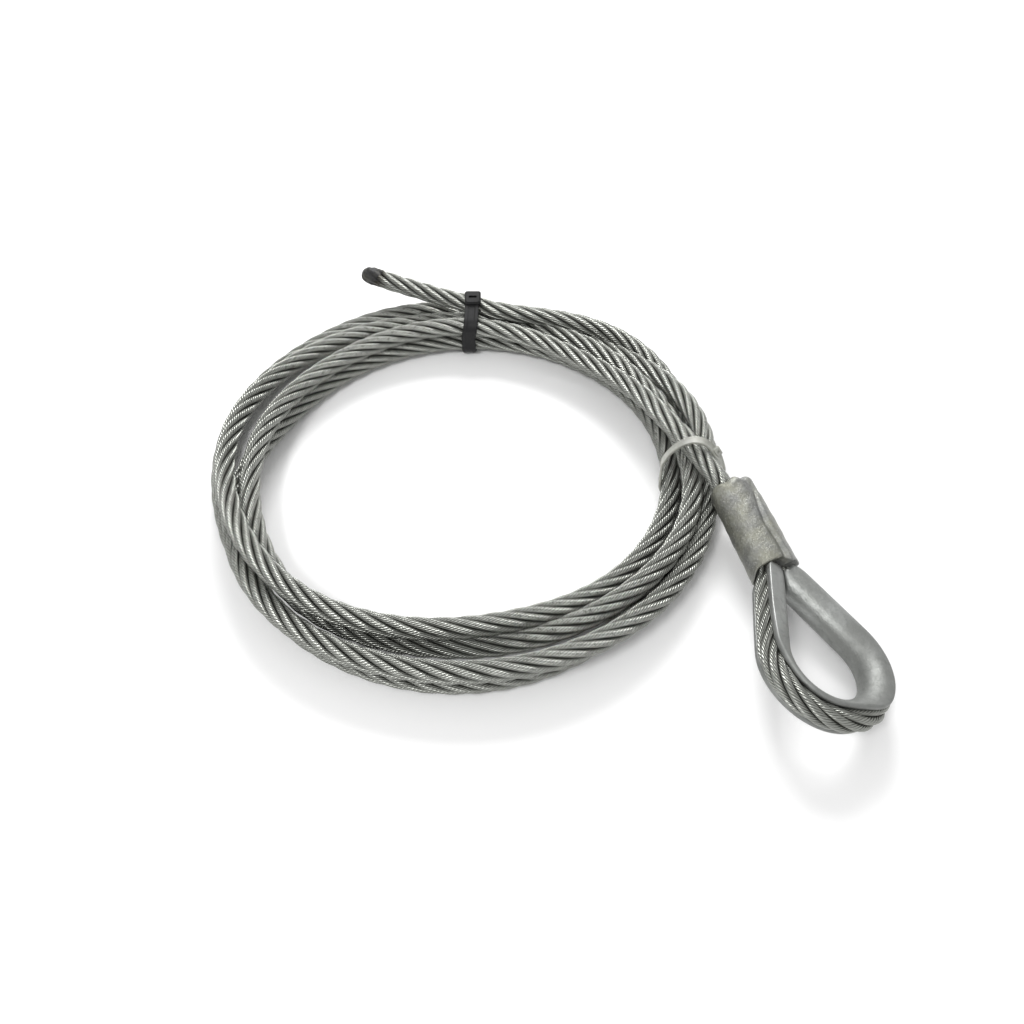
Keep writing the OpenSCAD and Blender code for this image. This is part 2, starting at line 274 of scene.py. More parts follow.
class Nodes:
    """A material's nodes, made by short calls."""

    def __init__(self, name):
        self.material = bpy.data.materials.new(name)
        self.material.use_nodes = True
        self.tree = self.material.node_tree
        self.shader = self.tree.nodes["Principled BSDF"]

    def put(self, socket, value):
        if isinstance(value, bpy.types.NodeSocket):
            self.tree.links.new(value, socket)
        elif value is not None:
            socket.default_value = value

    def add(self, kind, inputs=(), **settings):
        node = self.tree.nodes.new(kind)
        for key, value in settings.items():
            setattr(node, key, value)
        for key, value in dict(inputs).items():
            self.put(node.inputs[key], value)
        return node

    def math(self, operation, a, b=None, c=None, clamp=False):
        node = self.add("ShaderNodeMath", operation=operation, use_clamp=clamp)
        for socket, value in zip(node.inputs, (a, b, c)):
            self.put(socket, value)
        return node.outputs[0]

    def noise(self, scale, detail=4, roughness=0.55, vector=None):
        vector = vector or self.add("ShaderNodeTexCoord").outputs["Object"]
        return self.add(
            "ShaderNodeTexNoise",
            {"Vector": vector, "Scale": scale, "Detail": detail, "Roughness": roughness},
        ).outputs["Fac"]

    def band(self, value, low, high, to_low=0.0, to_high=1.0):
        node = self.add(
            "ShaderNodeMapRange",
            {"Value": value, "From Min": low, "From Max": high, "To Min": to_low, "To Max": to_high},
            interpolation_type="SMOOTHSTEP",
        )
        return node.outputs["Result"]

    def mix(self, factor, a, b, blend="MIX"):
        node = self.add("ShaderNodeMix", data_type="RGBA", blend_type=blend)
        self.put(node.inputs[0], factor)
        self.put(node.inputs[6], a)
        self.put(node.inputs[7], b)
        return node.outputs[2]

    def bump(self, height, distance, strength=1.0, normal=None):
        return self.add(
            "ShaderNodeBump",
            {"Height": height, "Distance": distance, "Strength": strength, "Normal": normal},
        ).outputs["Normal"]

    def finish(self, **inputs):
        for key, value in inputs.items():
            self.put(self.shader.inputs[key.replace("_", " ")], value)
        return self.material


def wire_material(name, end_at=None, oil=0.0):
    """Galvanised wires in a strand, from the strand's uvs: u round it, v along it."""
    n = Nodes(name)
    uv = n.add("ShaderNodeUVMap", uv_map="strand").outputs["UV"]
    split = n.add("ShaderNodeSeparateXYZ", {"Vector": uv})
    u, v = split.outputs["X"], split.outputs["Y"]
    phase = n.math("MULTIPLY", n.math("ADD", u, v), WIRES)
    crest = n.math("ABSOLUTE", n.math("SINE", n.math("MULTIPLY", phase, math.pi)))
    wire = n.math("MODULO", n.math("FLOOR", phase), WIRES)
    shade = n.add("ShaderNodeTexWhiteNoise", {"W": wire}, noise_dimensions="1D").outputs["Value"]
    # Each strand's inward side, in the grooves between strands (groove), and the creases between wires
    # (seam) are coloured darker: painted shade, with grease in the grooves.
    inward = n.math("MULTIPLY_ADD", n.math("COSINE", n.math("MULTIPLY", u, 2 * math.pi)), -0.5, 0.5)
    groove = n.band(inward, 0.16, 0.7)
    seam = n.band(crest, 0.8, 0.0)
    cloud = n.noise(90, 5)
    speck = n.noise(700, 3, 0.6)
    zinc = n.mix(cloud, (0.31, 0.32, 0.295, 1), (0.48, 0.49, 0.455, 1))
    zinc = n.mix(n.math("MULTIPLY", n.band(speck, 0.5, 0.75), 0.15), zinc, (0.85, 0.85, 0.82, 1))
    zinc = n.mix(n.math("MULTIPLY", n.math("SUBTRACT", 1.0, shade), 0.3), zinc, (0.16, 0.16, 0.145, 1))
    # The dark colour of the painted shade in the grooves and creases, and of grease and oil.
    shade_and_grease_colour = n.mix(cloud, (0.035, 0.036, 0.031, 1), (0.08, 0.08, 0.068, 1))
    shade_and_grease = n.math("MAXIMUM", n.math("MULTIPLY", groove, 0.85), n.math("MULTIPLY", seam, 0.65))
    if oil:
        shade_and_grease = n.math("MAXIMUM", shade_and_grease, n.math("MULTIPLY", n.band(cloud, 0.35, 0.65), oil * 0.6))
    colour = n.mix(shade_and_grease, zinc, shade_and_grease_colour)
    if end_at is not None:
        heat = n.band(v, end_at - 0.75, end_at - 0.1)
        burnt = n.mix(cloud, (0.03, 0.029, 0.026, 1), (0.085, 0.075, 0.055, 1))
        colour = n.mix(heat, colour, burnt)
    rough = n.math("MULTIPLY_ADD", shade_and_grease, 0.3, n.math("MULTIPLY_ADD", speck, 0.08, 0.24))
    height = n.math("ADD", crest, n.math("MULTIPLY", speck, 0.03))
    return n.finish(
        Base_Color=colour,
        Metallic=0.9,
        Roughness=rough,
        Normal=n.bump(height, 0.0003),
    )


# ---------------------------------------------------------------- the free rope

COIL_AT = np.array([-111.3, -121.2])
LEAD = [
    tuple(at_ferrule((3 - FERRULE_LEN, -PASSAGE_AT, 0))),
    tuple(at_ferrule((-FERRULE_LEN, -PASSAGE_AT, 0))),
    tuple(at_ferrule((-FERRULE_LEN - 5, -PASSAGE_AT, 0))),
    (-69, -10.4, 24.7),
    (-75, -11.8, 24.8),
    (-81, -13.4, 25),
    (-87, -14.9, 25),
    (-93, -16.5, 25),
    (-99, -18.3, 25),
    (-105, -20.4, 24.7),
]
TAIL = [
    (-208.5, -86.5, 20.5),
    (-214.5, -95, 20.5),
    (-220.5, -104, 20.5),
    (-226.5, -113, 20.8),
    (-232.5, -121.5, 21.2),
    (-238, -129.5, 21.6),
    (-243, -136.5, 22),
    (-247.5, -142.5, 22.3),
]
# Each turn of the coil at twelve places round it, from 92 degrees on: how far the rope's
# centre lies from the mean radius and above the surface, in rope diameters. The pairs come from
# a least-squares fit to the coil's outlines, rounded to a twentieth; five were then changed.
MEAN_R = 106
LANES = [
    (-0.75, 2.35), (-1.5, 1.65), (-1.5, 1.65), (-1.3, 1.65), (-1.05, 1.6), (-0.65, 1.85),
    (-0.4, 1.75), (-0.35, 1.05), (-0.95, 0.6), (-0.87, 0.7), (-0.05, 1.45), (0.55, 1.6),
    (0, 1.6), (-0.4, 1.6), (-0.25, 1), (0.3, 0.8), (0.9, 1.05), (1.05, 1.75),
    (0.45, 2.35), (-0.2, 2.15), (-1.2, 1.6), (-1.65, 1.2), (-1.15, 0.75), (-0.45, 0.65),
    (-0.35, 0.65), (-0.85, 0.65), (-1.3, 0.65), (-1.4, 0.65), (-1.1, 0.6), (-0.5, 0.7),
    (0.5, 1.35), (0.8, 1.55), (0.55, 1.5), (0.65, 1.55), (1.05, 1.35), (1.4, 1.1),
    (1.3, 1.7), (0.55, 1), (0.7, 0.65), (1.35, 0.7), (1.75, 0.6), (1.8, 0.6),
    (1, 0.5), (0.6, 0.5), (0.55, 0.5), (0.55, 0.55), (0.45, 0.6), (0.55, 0.6),
    (1.3, 0.7), (1.4, 1.35),
]
FIRST_AT, LANE_STEP = 92, 30


def polar(points, turns):
    p = np.array(points, float)
    x, y = p[:, 0] - COIL_AT[0], p[:, 1] - COIL_AT[1]
    return np.degrees(np.arctan2(y, x)) % 360 + 360 * turns, np.hypot(x, y), p[:, 2]


lead_a, lead_r, lead_z = polar(LEAD, 0)
tail_a, tail_r, tail_z = polar(TAIL, 4)
lane_a = FIRST_AT + LANE_STEP * np.arange(len(LANES))
lane_r = [MEAN_R + ROPE_D * out for out, up in LANES]
lane_z = [ROPE_D * up for out, up in LANES]
angle = np.concatenate([lead_a, lane_a, tail_a])
radius_at = natural_spline(angle, np.concatenate([lead_r, lane_r, tail_r]))
height_at = natural_spline(angle, np.concatenate([lead_z, lane_z, tail_z]))


def coil_point(a):
    """The rope's centre at an angle round the coil, counted on through its turns."""
    a, r = np.asarray(a, float), radius_at(a)
    return np.stack(
        [
            COIL_AT[0] + r * np.cos(np.radians(a)),
            COIL_AT[1] + r * np.sin(np.radians(a)),
            np.maximum(height_at(a), ROPE_R + 0.15),
        ],
        -1,
    )


free_route = even(coil_point(np.arange(angle[0], angle[-1], 0.5)), 2.75)
free_length = runs(free_route)[-1]
rope = rope_mesh(
    "rope",
    free_route,
    (0, 0, 1),
    12,
    wire_material("galvanised_wires", free_length / WIRE_LAY),
)
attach(rope, "root")
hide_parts("rope_lead", "rope_coil", "rope_tail")

# ---------------------------------------------------------------- the rope in the eye

LEG_ANGLE = math.asin(CROWN_R / math.hypot(LEG_LEN, MOUTH_HALF)) - math.atan(MOUTH_HALF / LEG_LEN)
LEG_START = CROWN_R * np.array([-math.sin(LEG_ANGLE), math.cos(LEG_ANGLE)])
LEG_RUN = (LEG_LEN - CROWN_R * math.sin(LEG_ANGLE)) / math.cos(LEG_ANGLE)
BEND_START, BEND_END = 3, 10
FERRULE_STEPS, BEND_STEPS, LEG_STEPS, CROWN_STEPS = 8, 4, 9, 11


def in_ferrule(x, side):
    return at_ferrule((x, side * PASSAGE_AT, 0))


def on_leg(d, side):
    y = side * (LEG_START[1] - d * math.sin(LEG_ANGLE))
    return at_eye((LEG_START[0] - d * math.cos(LEG_ANGLE), y, 0))


def bend(side):
    p, q = in_ferrule(-BEND_START, side), on_leg(LEG_RUN - BEND_END, side)
    reach = np.linalg.norm(q - p) / 3
    p2, q2 = in_ferrule(0, side) - p, q - on_leg(0, side)
    p2 = p + reach * p2 / np.linalg.norm(p2)
    q2 = q - reach * -q2 / np.linalg.norm(q2)
    f = np.arange(1, BEND_STEPS)[:, None] / BEND_STEPS
    return list(p * (1 - f) ** 3 + 3 * p2 * f * (1 - f) ** 2 + 3 * q2 * f**2 * (1 - f) + q * f**3)


def half_route(side, start):
    crown = [side * (math.pi / 2 + LEG_ANGLE) * (1 - i / CROWN_STEPS) for i in range(1, CROWN_STEPS + 1)]
    return (
        [
            in_ferrule(-start + (start - BEND_START) * i / FERRULE_STEPS, side)
            for i in range(FERRULE_STEPS + 1)
        ]
        + bend(side)
        + [on_leg((LEG_RUN - BEND_END) * (1 - i / LEG_STEPS), side) for i in range(LEG_STEPS + 1)]
        + [at_eye((CROWN_R * math.cos(a), CROWN_R * math.sin(a), 0)) for a in crown]
    )


dead_half = half_route(1, FERRULE_LEN - DEAD_END_DEPTH)
lead_half = half_route(-1, FERRULE_LEN)[::-1]
coarse = np.array(dead_half + lead_half[1:])
steps = np.arange(len(coarse))
from_end = np.minimum(steps, steps[::-1]) - FERRULE_STEPS
coarse_packing = PRESS_RATIO + (1 - PRESS_RATIO) * np.clip(from_end / BEND_STEPS, 0, 1) ** 2
eye_route = even(coarse, 1.4)
eye_packing = np.interp(
    np.linspace(0, 1, len(eye_route)), runs(coarse) / runs(coarse)[-1], coarse_packing
)
eye_rope = wired_rope("eye_rope", eye_route, EYE_TURN @ Vector((0, 0, 1)), eye_packing,
                      wire_material("oiled_wires", oil=0.3))
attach(eye_rope, "root")
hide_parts("eye_core", *["eye_strand_%d" % (i + 1) for i in range(STRANDS)])

# ---------------------------------------------------------------- thimble


def galvanised(name):
    n = Nodes(name)
    cloud = n.noise(70, 5, 0.6)
    patch = n.noise(260, 4, 0.65)
    fine = n.noise(1400, 3, 0.7)
    colour = n.mix(n.band(cloud, 0.3, 0.7), (0.30, 0.308, 0.295, 1), (0.39, 0.40, 0.39, 1))
    colour = n.mix(n.math("MULTIPLY", n.band(patch, 0.5, 0.7), 0.6), colour, (0.24, 0.25, 0.24, 1))
    colour = n.mix(n.math("MULTIPLY", n.band(fine, 0.55, 0.75), 0.35), colour, (0.52, 0.53, 0.50, 1))
    spot = n.noise(110, 2, 0.4)
    colour = n.mix(n.math("MULTIPLY", n.band(spot, 0.70, 0.76), 0.8), colour, (0.10, 0.09, 0.08, 1))
    # Towards the crown the colour is darker and rougher: wear, and painted shade that dims the lamps'
    # reflection there.
    place = n.add("ShaderNodeTexCoord").outputs["Object"]
    crown_shade_and_wear = n.band(n.add("ShaderNodeSeparateXYZ", {"Vector": place}).outputs["X"], 0.008, 0.026)
    colour = n.mix(n.math("MULTIPLY", crown_shade_and_wear, 0.5), colour, (0.20, 0.205, 0.195, 1))
    rough = n.math("MULTIPLY_ADD", crown_shade_and_wear, 0.12, 0.22)
    rough = n.math("MULTIPLY_ADD", patch, 0.3, n.math("MULTIPLY_ADD", cloud, 0.15, rough))
    height = n.math("ADD", n.math("MULTIPLY", patch, 0.7), n.math("MULTIPLY", fine, 0.35))
    return n.finish(
        Base_Color=colour, Metallic=0.9, Roughness=rough, Normal=n.bump(height, 0.0006, 0.6)
    )


GROOVE_R, GUTTER_R = ROPE_R + 0.25, ROPE_R + 3.0
POINT_GAP = 0.8


def crown_turn(side, run):
    """A place on the thimble as degrees round the crown; past the crown, millimetres along a leg."""
    return side * (90 + math.degrees(LEG_ANGLE) + run)


def thimble_station(s):
    """The rope's centre and the way out of the eye there, both in the eye's plane."""
    corner = 90 + math.degrees(LEG_ANGLE)
    if abs(s) <= corner:
        way = np.array([math.cos(math.radians(s)), math.sin(math.radians(s))])
        return CROWN_R * way, way
    side, d = np.sign(s), abs(s) - corner
    way = np.array([-math.sin(LEG_ANGLE), side * math.cos(LEG_ANGLE)])
    along = np.array([-math.cos(LEG_ANGLE), -side * math.sin(LEG_ANGLE)])
    return CROWN_R * way + d * along, way


# how far each flange wraps past the rope's middle, in degrees, from the lead's leg to the dead end's
upper_wrap = natural_spline([-158, -140, -126, -113, -95, -77, -55, -30, -8, 9, 28, 45, 80, 120, 158],
                            [22, 21, 16, 3, -17, -35, -40, -41, -38, -20, 7, 15, 17, 18, 18])
lower_wrap = natural_spline([-155, -130, -100, -60, -20, 20, 60, 155], [10, 14, 9, 3, 6, 12, 15, 10])


def thimble_mesh(material):
    """The gutter swept round the eye: a round back, with lips that are rolled over."""
    reach = [(LEG_LEN + over - CROWN_R * math.sin(LEG_ANGLE)) / math.cos(LEG_ANGLE) for over in (2.2, 1.2)]
    ends = crown_turn(-1, reach[0]), crown_turn(1, reach[1])
    line = np.linspace(*ends, 190)
    mid, lip = (GUTTER_R + GROOVE_R) / 2, (GUTTER_R - GROOVE_R) / 2
    rings = []
    for s in line:
        c, way = thimble_station(s)
        from_point = min(s - ends[0], ends[1] - s)
        close = math.sqrt(max(0.0, 1 - (1 - min(1, from_point / 2.2)) ** 2))
        up, down = (90 + wrap(s) for wrap in (upper_wrap, lower_wrap))
        fall = max(0.0, 1 - from_point / 9) ** 2
        up, down = up - (6 if s < 0 else 34) * fall, down - 30 * fall
        up, down = up * (0.25 + 0.75 * close), down * (0.25 + 0.75 * close)
        thick = lip * (0.3 + 0.7 * close)
        bend = 80 if s < -60 else 180
        if up > bend:  # the lead's upper flange leaves its arc and runs on straight
            straight = mid * (math.sin(math.radians(up - 90)) + math.cos(math.radians(bend)))
            up = bend
        else:
            straight = 0.0
        b = math.radians(up)
        radial, past = np.array([-math.cos(b), math.sin(b)]), np.array([math.sin(b), math.cos(b)])
        outline = [
            (-(mid + thick) * math.cos(b), (mid + thick) * math.sin(b))
            for b in np.radians(np.linspace(-down, up, 33))
        ]
        for q in np.radians(np.linspace(0, 180, 11)):
            nose = math.sin(q) * (0.4 + 0.6 * min(1, max(0, (s + 105) / 50)))
            lip_at = thick * (math.cos(q) * radial + nose * past)
            outline.append(tuple(straight * past + mid * radial + lip_at))
        for b in np.radians(np.linspace(up, -down, 25)):
            outline.append((-(mid - thick) * math.cos(b), (mid - thick) * math.sin(b)))
        b = math.radians(-down)
        radial, past = np.array([-math.cos(b), math.sin(b)]), -np.array([math.sin(b), math.cos(b)])
        for q in np.radians([158, 135, 112, 90, 68, 45, 22]):
            outline.append(tuple(mid * radial + thick * (math.cos(q) * radial + math.sin(q) * past)))
        ring = []
        for x, z in outline:
            p = c + way * x
            if abs(s) > 90:
                p[1] = np.sign(s) * max(np.sign(s) * p[1], POINT_GAP / 2)
            ring.append(at_eye((p[0], p[1], z)))
        rings.append(ring)
    rings = np.array(rings)
    faces, _ = tube(rings, np.zeros(rings.shape[1] + 1), np.zeros(len(rings)))
    return mesh_object("thimble_gutter", rings.reshape(-1, 3), faces, None, material)


thimble = thimble_mesh(galvanised("galvanised_thimble"))
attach(thimble, "root")
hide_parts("thimble")

# ---------------------------------------------------------------- ferrule

FERRULE_R = PASSAGE_AT + PASSAGE_R + 1.55
AROUND = 180


def round_curve(pairs):
    """A smooth closed function of an angle in degrees, through listed pairs."""
    at, value = np.array(pairs, float).T
    at = np.concatenate([at - 360, at, at + 360])
    return natural_spline(at, np.tile(value, 3))


# where the sleeve's two ends lie round it: scalloped at the eye, with soft lobes at the lead
eye_edge = round_curve([(0, 0), (30, 0.2), (47, 0.3), (54, -0.6), (61, -1.6), (72, -1.4), (80, -2),
                        (86, -3.8), (95, -4.4), (115, -4.4), (135, -4.2), (150, -4), (163, -3.8),
                        (175, -2.8), (188, -1.2), (205, 0), (225, 0.8), (270, 0.4), (315, 0)])
lead_edge = round_curve([(0, -0.3), (40, -0.8), (63, -1.6), (88, -0.6), (108, -2.2), (135, -1.2),
                         (165, -1.4), (200, -0.8), (250, -0.4), (300, -0.2)])
groove_at = natural_spline([-45, -37, -28, -22, -15, -8, 0], [70, 77, 88, 92, 87, 85, 86])


def ferrule_radius(x, a):
    """The sleeve's outer radius at a place along it and an angle round it, in degrees."""
    soft = lambda t: np.clip(t, 0, 1) ** 2 * (3 - 2 * np.clip(t, 0, 1))
    r = FERRULE_R + 0.10 * np.sin(0.31 * x + np.radians(2 * a)) + 0.07 * np.sin(0.83 * x - np.radians(5 * a))
    g = groove_at(x)
    rise = 0.7 + 0.8 * soft((x + 38) / 38)
    ridge = soft((g - a) / 7) * soft((a - 38) / 9) * soft((x + 39 + (a - 70) * 0.06) / 3)
    dip = np.exp(-(((a - g - 3) / 5) ** 2)) * soft((x + 41) / 4)
    valley = np.exp(-(((a - 88) / 13) ** 2)) * soft((-x - 37) / 8)
    return r + rise * ridge - 0.5 * dip - 0.9 * valley


def passage_radius(x, a):
    """The radius of the two passages' shared outline."""
    p = PASSAGE_R + 0.2 + 0.55 * np.clip((x + 9) / 9, 0, 1)
    s = PASSAGE_AT * np.sin(np.radians(a))
    return PASSAGE_AT * np.abs(np.cos(np.radians(a))) + np.sqrt(p**2 - s**2)


def ferrule_mesh(material):
    a = 360 * np.arange(AROUND) / AROUND
    end, lead = eye_edge(a), -FERRULE_LEN + lead_edge(a)
    rings = []
    quarter = np.radians(np.linspace(0, 90, 7))
    wall = ferrule_radius(lead + 3.4, a) - passage_radius(lead, a)
    for t in quarter[::-1]:  # the soft shoulder at the lead end
        r = ferrule_radius(lead + 3.4, a) - np.minimum(3.2, wall * 0.85) * (1 - math.cos(t))
        rings.append((lead + 3.4 * (1 - math.sin(t)), r))
    for s in np.linspace(0, 1, 58)[1:-1]:
        x = lead + 3.4 + (end - 0.9 - lead - 3.4) * s
        rings.append((x, ferrule_radius(x, a)))
    wall = ferrule_radius(end, a) - passage_radius(end, a)
    for t in quarter:  # the rounded lip at the eye
        r = ferrule_radius(end - 0.9, a) - np.minimum(0.8, wall * 0.45) * (1 - math.cos(t))
        rings.append((end - 0.9 * (1 - math.sin(t)), r))
    for t in quarter[::-1]:
        r = passage_radius(end, a) + np.minimum(0.5, wall * 0.45) * (1 - math.cos(t))
        rings.append((end - 0.5 * (1 - math.sin(t)), r))
    for s in np.linspace(0, 1, 20)[1:]:
        x = end - 0.5 + (lead + 0.4 - end + 0.5) * s
        rings.append((x, passage_radius(x, a)))
    rings.append((lead + 0.05, passage_radius(lead, a) + 0.12))
    points = np.array(
        [
            [at_ferrule((x[k], r[k] * math.cos(b), r[k] * math.sin(b))) for k, b in enumerate(np.radians(a))]
            for x, r in rings
        ]
    )
    faces = closed_faces(*points.shape[:2])
    return mesh_object("ferrule_sleeve", points.reshape(-1, 3), faces, None, material)


def pressed_aluminium(name):
    n = Nodes(name)
    cloud = n.noise(55, 4, 0.6)
    patch = n.noise(230, 5, 0.62)
    fine = n.noise(1100, 3, 0.75)
    colour = n.mix(n.band(cloud, 0.38, 0.62), (0.235, 0.238, 0.23, 1), (0.28, 0.28, 0.235, 1))
    colour = n.mix(n.math("MULTIPLY", n.band(patch, 0.5, 0.7), 0.5), colour, (0.43, 0.44, 0.41, 1))
    colour = n.mix(n.math("MULTIPLY", n.band(fine, 0.55, 0.7), 0.6), colour, (0.6, 0.6, 0.57, 1))
    colour = n.mix(n.math("MULTIPLY", n.band(fine, 0.42, 0.3), 0.5), colour, (0.13, 0.13, 0.115, 1))
    height = n.math("ADD", n.math("MULTIPLY", patch, 0.7), n.math("MULTIPLY", fine, 0.5))
    return n.finish(
        Base_Color=colour,
        Metallic=0.75,
        Roughness=n.math("MULTIPLY_ADD", patch, 0.25, 0.3),
        Normal=n.bump(height, 0.0009, 0.8),
    )


ferrule = ferrule_mesh(pressed_aluminium("pressed_aluminium"))
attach(ferrule, "root")
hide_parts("ferrule")

# ---------------------------------------------------------------- fused tip


def tip_mesh(material):
    """The strands melt into one lump: rings of six lobes that fade, on a bent and lumpy end."""
    end = free_route[-1]
    t, s, u = (v[-1] for v in carry(free_route, (0, 0, 1)))
    spin = 2 * math.pi * free_length / LAY
    sides, rings = 60, []
    a = 2 * np.pi * np.arange(sides) / sides
    length = 9.5
    rounding = 0.55 + 0.45 * np.sin(np.radians(np.linspace(6, 90, 12)))
    for f in np.concatenate([np.linspace(-0.35, 0.55, 10), rounding]):
        x = length * f
        fade = np.clip(1 - (f + 0.35) / 0.9, 0, 1)
        th = spin + 2 * math.pi * x / LAY
        lobes = np.abs(np.cos(3 * (a - th)))
        full = 4.98 - 0.55 * np.clip(f, 0, 1)
        r = full - (1 - lobes) * (0.25 + 1.1 * fade)
        r = r + 0.22 * np.sin(2 * a + 9 * f) + 0.15 * np.sin(5 * a - 14 * f) * np.clip(f + 0.2, 0, 1)
        cap = math.sqrt(max(0.0, 1 - max(0.0, (f - 0.55) / 0.45) ** 2))
        r = np.minimum(r, 5.0) * (0.04 + 0.96 * cap)
        centre = end + t * x + s * 0.25 * max(0, f)
        rings.append(centre + np.outer(r * np.cos(a), s) + np.outer(r * np.sin(a), u))
    rings = np.array(rings)
    faces, _ = tube(rings, np.zeros(sides + 1), np.zeros(len(rings)))
    return mesh_object("burnt_tip", rings.reshape(-1, 3), faces, None, material)


def burnt_steel(name):
    n = Nodes(name)
    cloud, fine = n.noise(260, 5, 0.65), n.noise(1500, 3, 0.7)
    colour = n.mix(n.band(cloud, 0.4, 0.68), (0.014, 0.014, 0.015, 1), (0.062, 0.06, 0.05, 1))
    colour = n.mix(n.math("MULTIPLY", n.band(fine, 0.6, 0.75), 0.3), colour, (0.16, 0.155, 0.14, 1))
    height = n.math("ADD", cloud, n.math("MULTIPLY", fine, 0.4))
    return n.finish(
        Base_Color=colour, Metallic=0.25,
        Roughness=n.math("MULTIPLY_ADD", cloud, 0.35, 0.35), Normal=n.bump(height, 0.0006, 0.8),
    )


tip = tip_mesh(burnt_steel("burnt_steel"))
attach(tip, "root")
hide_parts("fused_tip")

# ---------------------------------------------------------------- ties


def hull(points):
    """The convex outline of points in a plane, anticlockwise."""
    points = sorted(map(tuple, points))

    def half(order):
        out = []
        for p in order:
            while len(out) > 1 and (
                (out[-1][0] - out[-2][0]) * (p[1] - out[-2][1])
                - (out[-1][1] - out[-2][1]) * (p[0] - out[-2][0])
            ) <= 0:
                out.pop()
            out.append(p)
        return out[:-1]

    return np.array(half(points) + half(points[::-1]))


def closed_even(line, count):
    """A closed line, with its points evenly apart."""
    loop = np.vstack([line, line[:1]])
    run = runs(loop)
    want = np.linspace(0, run[-1], count, endpoint=False)
    return np.stack([np.interp(want, run, loop[:, k]) for k in range(line.shape[1])], -1)


def blur(line, times):
    for _ in range(times):
        line = line / 2 + (np.roll(line, 1, 0) + np.roll(line, -1, 0)) / 4
    return line


def strap_section(width, thick, chamfer, channel=0.0):
    """Points round a strap's section: (across it, out of it)."""
    w, h, c = width / 2, thick / 2, chamfer
    return [(-w, -h + c), (-w + c, -h), (w - c, -h), (w, -h + c), (w, h - c), (w - c, h),
            (w * 0.55, h), (w * 0.4, h - channel), (-w * 0.4, h - channel), (-w * 0.55, h),
            (-w + c, h), (-w, h - c)]


def strap_mesh(name, line, across, section, material):
    """A strap along a closed line; across is the direction of its width at each point."""
    t = np.roll(line, -1, 0) - np.roll(line, 1, 0)
    t /= np.linalg.norm(t, axis=1)[:, None]
    across = across - t * (across * t).sum(1)[:, None]
    across /= np.linalg.norm(across, axis=1)[:, None]
    out = np.cross(across, t)
    rings = np.array([[p + across[i] * q[0] + out[i] * q[1] for q in section] for i, p in enumerate(line)])
    faces = closed_faces(*rings.shape[:2])
    return mesh_object(name, rings.reshape(-1, 3), faces, None, material, False)


def block_mesh(name, centre, axes, size, edge, material, slot=(0.55, 0.42), deep=0.4):
    """A tie's head: a block with rounded edges, and a slot through its top for the strap."""
    x, y, z = (np.array(v, float) for v in axes)
    w, d, h = (v / 2 for v in size)
    verts = []
    outline = [(-w + edge, -d), (w - edge, -d), (w, -d + edge), (w, d - edge),
               (w - edge, d), (-w + edge, d), (-w, d - edge), (-w, -d + edge)]
    levels = [(-h, 1.0), (h - edge, 1.0), (h, 1 - edge / max(w, d))]
    inner = [(px * slot[0], py * slot[1]) for px, py in outline]
    for level, scale in levels:
        verts += [centre + x * px * scale + y * py * scale + z * level for px, py in outline]
    for level in (h, h - 2 * h * deep):
        verts += [centre + x * px + y * py + z * level for px, py in inner]
    n = len(outline)
    faces = [tuple(range(n - 1, -1, -1)), tuple(4 * n + k for k in range(n))]
    for i in range(4):
        for k in range(n):
            j = (k + 1) % n
            faces.append((i * n + k, i * n + j, (i + 1) * n + j, (i + 1) * n + k))
    return mesh_object(name, verts, faces, None, material, False)


def nylon(name, colour, rough, clear=0.0, ior=1.5):
    n = Nodes(name)
    cloud, fine = n.noise(120, 4), n.noise(1300, 3, 0.7)
    low = tuple(c * 0.72 for c in colour) + (1,)
    high = tuple(min(1.0, c * 1.25) for c in colour) + (1,)
    height = n.math("ADD", n.math("MULTIPLY", cloud, 0.5), n.math("MULTIPLY", fine, 0.4))
    return n.finish(
        Base_Color=n.mix(n.band(cloud, 0.3, 0.7), low, high),
        Roughness=n.math("MULTIPLY_ADD", fine, 0.2, rough),
        Transmission_Weight=clear,
        Subsurface_Weight=clear,
        Subsurface_Radius=(0.002, 0.002, 0.0018),
        IOR=ior,
        Normal=n.bump(height, 0.0003, 0.4),
    )


def directions(a):
    """Outwards and along the coil, at an angle round it."""
    c, s = math.cos(math.radians(a)), math.sin(math.radians(a))
    return np.array([c, s, 0.0]), np.array([-s, c, 0.0])


UP = np.array([0.0, 0.0, 1.0])
MIDDLE = np.array([*COIL_AT, 0.0])

# the black tie is drawn tight round the five passes
BLACK_AT, BLACK_W, BLACK_T = 166, 7.6, 1.5
out, along = directions(BLACK_AT)
passes = [coil_point(BLACK_AT + 360 * k) for k in range(5)]
centres = [((p - MIDDLE) @ out, p[2]) for p in passes]
turns = np.radians(np.arange(0, 360, 7.5))
reach = ROPE_R + 0.15 + BLACK_T / 2
around = hull([(r + reach * math.cos(t), z + reach * math.sin(t)) for r, z in centres for t in turns])
around = blur(closed_even(around, 160), 3)
around[:, 1] = np.maximum(around[:, 1], BLACK_T / 2 + 0.02)
slant = -1.9 * np.clip((around[:, 1] - 14) / 10, 0, 1)
line = MIDDLE + np.outer(around[:, 0], out) + np.outer(around[:, 1], UP) + np.outer(slant, along)
black = nylon("black_nylon", (0.009, 0.009, 0.0095), 0.38, ior=1.35)
black_tie = strap_mesh("black_strap", line, np.tile(along, (len(line), 1)),
                       strap_section(BLACK_W, BLACK_T, 0.35, 0.18), black)
head_dir = np.array([math.cos(math.radians(104)), math.sin(math.radians(104))])
i = int(np.argmax(around @ head_dir))
n2 = head_dir[0] * out + head_dir[1] * UP
t2 = -head_dir[1] * out + head_dir[0] * UP
black_head = block_mesh("black_head", line[i] + n2 * 0.4 + along * -0.5, (along, t2, n2),
                        (8.8, 8.6, 3.4), 0.9, black, (0.5, 0.16), 0.3)
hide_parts("black_tie")
for piece in (black_tie, black_head):
    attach(piece, "root")
